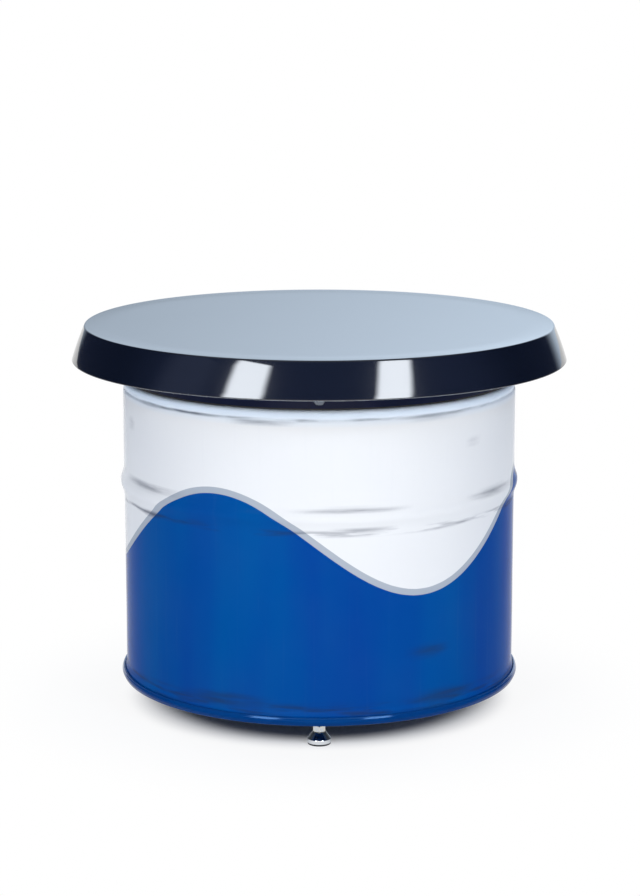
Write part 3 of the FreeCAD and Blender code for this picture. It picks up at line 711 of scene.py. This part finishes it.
def chrome_plate():
    """Polished chrome plate: a dark clear mirror, dulled a little by finger marks."""
    material, tree, shader, place = new_material("polished_chrome")
    marks = add(tree, "ShaderNodeTexNoise", {"Vector": place, "Scale": 1 / (9 * MM), "Detail": 6.0,
                                             "Distortion": 1.0})
    colour = add(tree, "ShaderNodeMix", {"Factor": marks, "A": linear("#cfd4da"), "B": linear("#e6e9ec")},
                 data_type="RGBA")
    gloss = add(tree, "ShaderNodeMapRange", {0: marks, 1: 0.4, 2: 0.75, 3: 0.03, 4: 0.14})
    feed(tree, shader, {"Base Color": colour, "Metallic": 1.0, "Roughness": gloss})
    return material


enamel = two_tone_enamel()
lining = drum_lining()
gloss_black = black_gloss_moulding()
plywood = film_faced_plywood()
coated = powder_coat()
blackened = black_oxide()
bright_edge = rubbed_steel()
zinc = zinc_plate()
finishes = {"drum_enamel": head_paint(), "black_gloss_top": gloss_black, "plywood": plywood, "black_steel": coated,
            "black_gloss_steel": stove_enamel(), "black_bolt_steel": blackened, "black_rubber": moulded_rubber(),
            "zinc_steel": zinc, "foot_chrome": chrome_plate()}
for node in nodes.values():
    for i, material in enumerate(node.data.materials):
        node.data.materials[i] = finishes[material.name]


# Pieces

shell_path = [(CHIME_RADIUS, SHELL_FOOT_Z, 0), (CHIME_RADIUS, FLARE_Z, FLARE_ROUNDING),
              (WALL_RADIUS, FLARE_Z + FLARE_LENGTH, FLARE_ROUNDING)]
shell_path += bead(HOOP_Z, HOOP_PROUD, HOOP_WIDTH, HOOP_ROUNDING)
shell_path += bead(CREASE_Z, -CREASE_DEPTH, CREASE_WIDTH, CREASE_ROUNDING)
shell_path += [(WALL_RADIUS, RIM_Z, CURL_RADIUS), (WALL_RADIUS - 2 * CURL_RADIUS, RIM_Z, CURL_RADIUS),
               (WALL_RADIUS - 2 * CURL_RADIUS, RIM_Z - 2 * CURL_RADIUS, CURL_RADIUS),
               (WALL_RADIUS - CURL_RADIUS, RIM_Z - 2 * CURL_RADIUS, 0)]
drum = piece("painted_drum", knocked(turned(divided(wire(shell_path), WALL_STEP))), "drum",
             [enamel, lining], ["drum_shell"])
sheet_metal = drum.modifiers.new("sheet", "SOLIDIFY")
sheet_metal.thickness = SHEET * MM
sheet_metal.offset = 0
sheet_metal.use_even_offset = True
sheet_metal.material_offset = 1

head = piece("rolled_bottom_head", rolled_seam(), "drum", [finishes["drum_enamel"]],
             ["bottom_head"])
head.modifiers.new("flat_faces", "WEIGHTED_NORMAL")

top_path = [(0, TOP_Z, 0), (TOP_RADIUS, TOP_Z, TOP_EDGE_ROUNDING), (BOW_RADIUS, BOW_Z, BOW_ROUNDING),
            (SKIRT_RADIUS, SKIRT_Z, LIP_ROUNDING)]
piece("gloss_top", turned(divided(wire(top_path + set_in(top_path, TOP_SHELL)), DISC_STEP)), "top",
      [gloss_black], ["tabletop_shell"])

board_path = [(0, BOARD_TOP_Z, 0), (BOARD_RADIUS, BOARD_TOP_Z, BOARD_EDGE_ROUNDING),
              (BOARD_RADIUS, BOARD_BOTTOM_Z, BOARD_EDGE_ROUNDING), (0, BOARD_BOTTOM_Z, 0)]
piece("stiffening_board", turned(divided(wire(board_path), DISC_STEP)), "top", [plywood],
      ["core_board"])

stud = threaded_stud()
for side, (x, y) in SIDES.items():
    placed = stud.copy()
    bmesh.ops.translate(placed, verts=placed.verts, vec=(x * FOOT_CIRCLE * MM, y * FOOT_CIRCLE * MM, 0))
    piece("threaded_stud_" + side, placed, "foot_" + side + "_screw", [zinc],
          ["foot_" + side + "_stud"])
stud.free()

# Hardware with eased edges: node, body, slot, width of the eased edge, finish of its faces and of its edges
hardware = [("collar_bolts", "top", "black_bolt_steel", 1.2, blackened, bright_edge),
            ("collar_nuts", "top", "zinc_steel", 0.4, zinc, zinc),
            ("collar_washers", "top", "zinc_steel", 0.2, zinc, zinc),
            ("cross_bar_side_to_side", "top", "black_steel", 0.6, coated, coated),
            ("cross_bar_front_to_back", "top", "black_steel", 0.6, coated, coated),
            ("foot_weld_nuts", "drum", "zinc_steel", 0.5, zinc, zinc)]
hardware += [("foot_" + side + "_nut", "foot_" + side + "_screw", "zinc_steel", 0.4, zinc, zinc) for side in SIDES]
for node, body, slot, width, face_finish, edge_finish in hardware:
    part = piece("eased_" + node, eased(node, width), body, [face_finish, edge_finish], [node])
    part.modifiers.new("flat_faces", "WEIGHTED_NORMAL")


# Floor, light and camera

def floor_finish():
    """Pale matt studio floor. Far from the table it shows as plain white, and near it the shadow stays. From below
    it is clear, so that the underside of the table can be seen."""
    material, tree, shader, place = new_material("pale_studio_floor")
    tree.nodes.remove(shader)
    distance = add(tree, "ShaderNodeVectorMath", {0: place}, operation="LENGTH").outputs["Value"]
    away = 0.0
    for begins, ends, share in FLOOR_WHITE:
        ring = add(tree, "ShaderNodeMapRange", {0: distance, 1: begins, 2: ends, 3: 0.0, 4: share},
                   interpolation_type="SMOOTHSTEP")
        away = add(tree, "ShaderNodeMath", {0: away, 1: ring}, operation="ADD")
    rays = add(tree, "ShaderNodeLightPath")
    seen = add(tree, "ShaderNodeMath", {0: rays.outputs["Is Camera Ray"], 1: rays.outputs["Is Glossy Ray"]},
               operation="MAXIMUM")
    seen = add(tree, "ShaderNodeMath", {0: seen, 1: rays.outputs["Is Transmission Ray"]}, operation="MAXIMUM")
    white = add(tree, "ShaderNodeMath", {0: away, 1: seen}, operation="MULTIPLY")
    matt = add(tree, "ShaderNodeBsdfDiffuse", {"Color": linear("#f2f3f5")})
    plain = add(tree, "ShaderNodeEmission", {"Color": linear("#ffffff"), "Strength": 1.0})
    mixed = add(tree, "ShaderNodeMixShader", {0: white, 1: matt, 2: plain})
    from_below = add(tree, "ShaderNodeNewGeometry").outputs["Backfacing"]
    clear = add(tree, "ShaderNodeBsdfTransparent")
    mixed = add(tree, "ShaderNodeMixShader", {0: from_below, 1: mixed, 2: clear})
    feed(tree, tree.nodes["Material Output"], {"Surface": mixed})
    return material


grid = bmesh.new()
bmesh.ops.create_grid(grid, x_segments=1, y_segments=1, size=FLOOR_HALF)
floor_mesh = bpy.data.meshes.new("studio_floor")
grid.to_mesh(floor_mesh)
grid.free()
floor_mesh.materials.append(floor_finish())
floor = bpy.data.objects.new("studio_floor", floor_mesh)
bpy.context.scene.collection.objects.link(floor)

# A dim room that darkens towards the back, with a pale ceiling and a bright backdrop behind the table. Limits are
# parts of a unit direction: X to the right, Y to the back, Z up.
BACKDROP = [1.27 * channel for channel in linear("#daecff")]
ROOM = [0.5 * channel for channel in linear("#6f7fb3")]
CEILING = [0.5 * channel for channel in linear("#e3ebf7")]
BACKDROP_TURN = 0.096
BACKDROP_EDGE = {1: 0.815, 2: 0.955}
BACKDROP_RISE = {1: 0.12, 2: 0.19, 3: 0.75, 4: 1.25}
BACKDROP_SWEEP = {1: -0.12, 2: 0.12, 3: 0.75, 4: 1.25}
ROOM_FADE = {1: -0.4, 2: 0.3, 3: 1.0, 4: 0.25}
CEILING_EDGE = {1: 0.62, 2: 1.0}
world = bpy.data.worlds.new("studio")
bpy.context.scene.world = world
world.use_nodes = True
sky = world.node_tree
direction = add(sky, "ShaderNodeTexCoord").outputs["Generated"]
rightward, backward, upward = add(sky, "ShaderNodeSeparateXYZ", {0: direction}).outputs
# The backdrop is brighter higher up and to the right
higher = add(sky, "ShaderNodeMapRange", {0: upward, **BACKDROP_RISE})
brighter = add(sky, "ShaderNodeMapRange", {0: rightward, **BACKDROP_SWEEP})
level = add(sky, "ShaderNodeMath", {0: higher, 1: brighter}, operation="MULTIPLY")
panel = add(sky, "ShaderNodeVectorMath", {0: BACKDROP[:3], "Scale": level}, operation="SCALE")
fading = add(sky, "ShaderNodeMapRange", {0: backward, **ROOM_FADE}, interpolation_type="SMOOTHSTEP")
room = add(sky, "ShaderNodeVectorMath", {0: ROOM[:3], "Scale": fading}, operation="SCALE")
behind = add(sky, "ShaderNodeMath", {0: rightward, 1: BACKDROP_TURN, 2: backward}, operation="MULTIPLY_ADD")
behind = add(sky, "ShaderNodeMapRange", {0: behind, **BACKDROP_EDGE}, interpolation_type="SMOOTHSTEP")
surround = add(sky, "ShaderNodeMix", {"Factor": behind, "A": room, "B": panel}, data_type="RGBA")
ceiling = add(sky, "ShaderNodeMapRange", {0: upward, **CEILING_EDGE}, interpolation_type="SMOOTHSTEP")
surround = add(sky, "ShaderNodeMix", {"Factor": ceiling, "A": surround, "B": CEILING}, data_type="RGBA")
rays = add(sky, "ShaderNodeLightPath")
shown = add(sky, "ShaderNodeMix", {"Factor": rays.outputs["Is Camera Ray"], "A": surround,
                                   "B": linear("#ffffff")}, data_type="RGBA")
feed(sky, sky.nodes["Background"], {"Color": shown, "Strength": 1.0})


def softbox(name, bearing, low, high, width, radiance, tint, lean=0.0, soft=0.1, mirrored=True):
    """A soft upright lamp turned to the skirt: its bearing from the front, its lowest and highest elevation
    in degrees, its width in metres, its brightness, its lean in degrees and the share of its width that fades
    out along each edge. The camera never sees it, and one that is not mirrored doesn't show in reflections either."""
    bottom, top = [LAMP_DISTANCE * math.tan(math.radians(elevation)) for elevation in (low, high)]
    away = Vector((math.sin(math.radians(bearing)), -math.cos(math.radians(bearing)), 0))
    lamp = bpy.data.lights.new(name, "AREA")
    lamp.shape = "RECTANGLE"
    lamp.size = width
    lamp.size_y = top - bottom
    lamp.energy = radiance * math.pi * lamp.size * lamp.size_y
    lamp.color = linear(tint)[:3]
    lamp.use_nodes = True
    tree = lamp.node_tree
    across = add(tree, "ShaderNodeNewGeometry").outputs["Parametric"]
    across = add(tree, "ShaderNodeSeparateXYZ", {0: across})
    outward = add(tree, "ShaderNodeMath", {0: across, 1: 0.5}, operation="SUBTRACT")
    outward = add(tree, "ShaderNodeMath", {0: outward}, operation="ABSOLUTE")
    glow = add(tree, "ShaderNodeMapRange", {0: outward, 1: 0.5 - soft, 2: 0.5, 3: 1.0, 4: 0.0},
               interpolation_type="SMOOTHSTEP")
    feed(tree, tree.nodes["Emission"], {"Strength": glow})
    obj = bpy.data.objects.new(name, lamp)
    obj.location = LAMP_AIM + away * LAMP_DISTANCE + Vector((0, 0, (bottom + top) / 2))
    facing = (-away).to_track_quat("-Z", "Y") @ Quaternion((0, 0, 1), math.radians(lean))
    obj.rotation_euler = facing.to_euler()
    obj.visible_camera = False
    obj.visible_glossy = mirrored
    bpy.context.scene.collection.objects.link(obj)
    return obj


softbox("left_softbox", -37.0, 15, 37, 0.96, 10.9, "#f2f8ff", lean=-5, soft=0.2)
softbox("right_softbox", 39.2, 15, 38, 0.90, 11.2, "#f2f8ff", lean=-15, soft=0.2)
softbox("left_dim_panel", -70, 7, 34, 1.5, 0.16, "#cfdcff", lean=-8, soft=0.35)
front_fill = softbox("front_fill", 0, -11, 6, 4.4, 3.7, "#fff6ea", soft=0.25)
back_fill = softbox("back_fill", 180, -11, 6, 4.4, 1.7, "#fff6ea", soft=0.25, mirrored=False)
softbox("left_side_fill", -82, -11, 9, 1.5, 1.8, "#e6efff", soft=0.25, mirrored=False)
softbox("right_side_fill", 82, -11, 9, 1.5, 2.2, "#e6efff", soft=0.25, mirrored=False)
softbox("left_back_softbox", -138, 26, 56, 1.8, 4.6, "#fffefd", soft=0.3, mirrored=False)
softbox("right_back_softbox", 138, 26, 56, 1.8, 4.6, "#fffefd", soft=0.3, mirrored=False)

# Light linking keeps the two broad fills off the floor, so that the shadow under the drum stays deep
shaded = bpy.data.collections.new("shaded_from_the_fills")
shaded.objects.link(floor)
shaded.collection_objects[0].light_linking.link_state = "EXCLUDE"
for lamp in (front_fill, back_fill):
    lamp.light_linking.receiver_collection = shaded

overhead_light = bpy.data.lights.new("overhead_softbox", "AREA")
overhead_light.size = OVERHEAD_SIZE
overhead_light.energy = OVERHEAD_LEVEL * math.pi * OVERHEAD_SIZE ** 2
overhead = bpy.data.objects.new("overhead_softbox", overhead_light)
overhead.location = (0, 0, OVERHEAD_Z)
overhead.visible_camera = False
overhead.visible_glossy = False
bpy.context.scene.collection.objects.link(overhead)

# The camera that took the photograph, fitted to the outlines in it
camera_data = bpy.data.cameras.new("camera")
camera_data.lens = 103.13
camera_data.sensor_width = 36.0
camera = bpy.data.objects.new("camera", camera_data)
camera.location = (0.0011, -3.7043, 1.1248)
camera.rotation_euler = (math.radians(78.488), 0, 0)
bpy.context.scene.collection.objects.link(camera)
bpy.context.scene.camera = camera
bpy.context.scene.view_settings.view_transform = "Standard"
